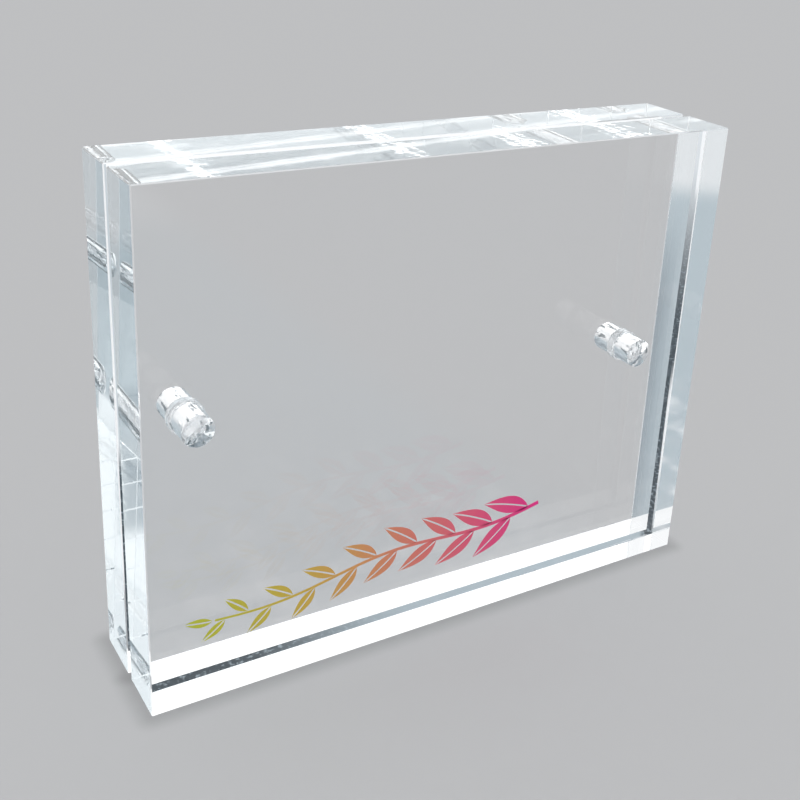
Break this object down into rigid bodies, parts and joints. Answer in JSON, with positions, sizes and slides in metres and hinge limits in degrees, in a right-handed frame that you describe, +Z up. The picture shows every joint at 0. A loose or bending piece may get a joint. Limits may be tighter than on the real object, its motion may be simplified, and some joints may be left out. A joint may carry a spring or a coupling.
{
  "type": "acrylic block frame",
  "caption": "Free-standing clear block frame: a front and a back acrylic slab held a narrow gap apart by split push-in pegs with a collar, so that a picture slips between them.",
  "frame": {"origin": "middle of the base, halfway through the depth, on the surface that the frame stands on", "axes": "+X to the viewer's right along the width, +Y to the back through the blocks, +Z up"},
  "size_m": [0.127, 0.0258, 0.1016],
  "materials": {
    "clear_block": "clear cast acrylic, polished on all faces",
    "clear_peg": "clear moulded acrylic, glossy",
    "print_ink": "thin printed ink on the front face, lime to magenta"
  },
  "bodies": {
    "back_block": {"back_block": "clear_block"},
    "left_peg": {"left_peg": "clear_peg"},
    "right_peg": {"right_peg": "clear_peg"},
    "front_block": {"front_block": "clear_block"}
  },
  "joints": [
    {"name": "left_peg_pull", "type": "slide", "parent": "back_block", "child": "left_peg", "axis": [0, -1, 0], "range_m": [0, 0.012]},
    {"name": "right_peg_pull", "type": "slide", "parent": "back_block", "child": "right_peg", "axis": [0, -1, 0], "range_m": [0, 0.012]},
    {"name": "front_block_pull", "type": "slide", "parent": "left_peg", "child": "front_block", "axis": [0, -1, 0], "range_m": [0, 0.012]}
  ],
  "couplings": [
    {"joint": "right_peg_pull", "follows": "left_peg_pull", "ratio": 1}
  ]
}
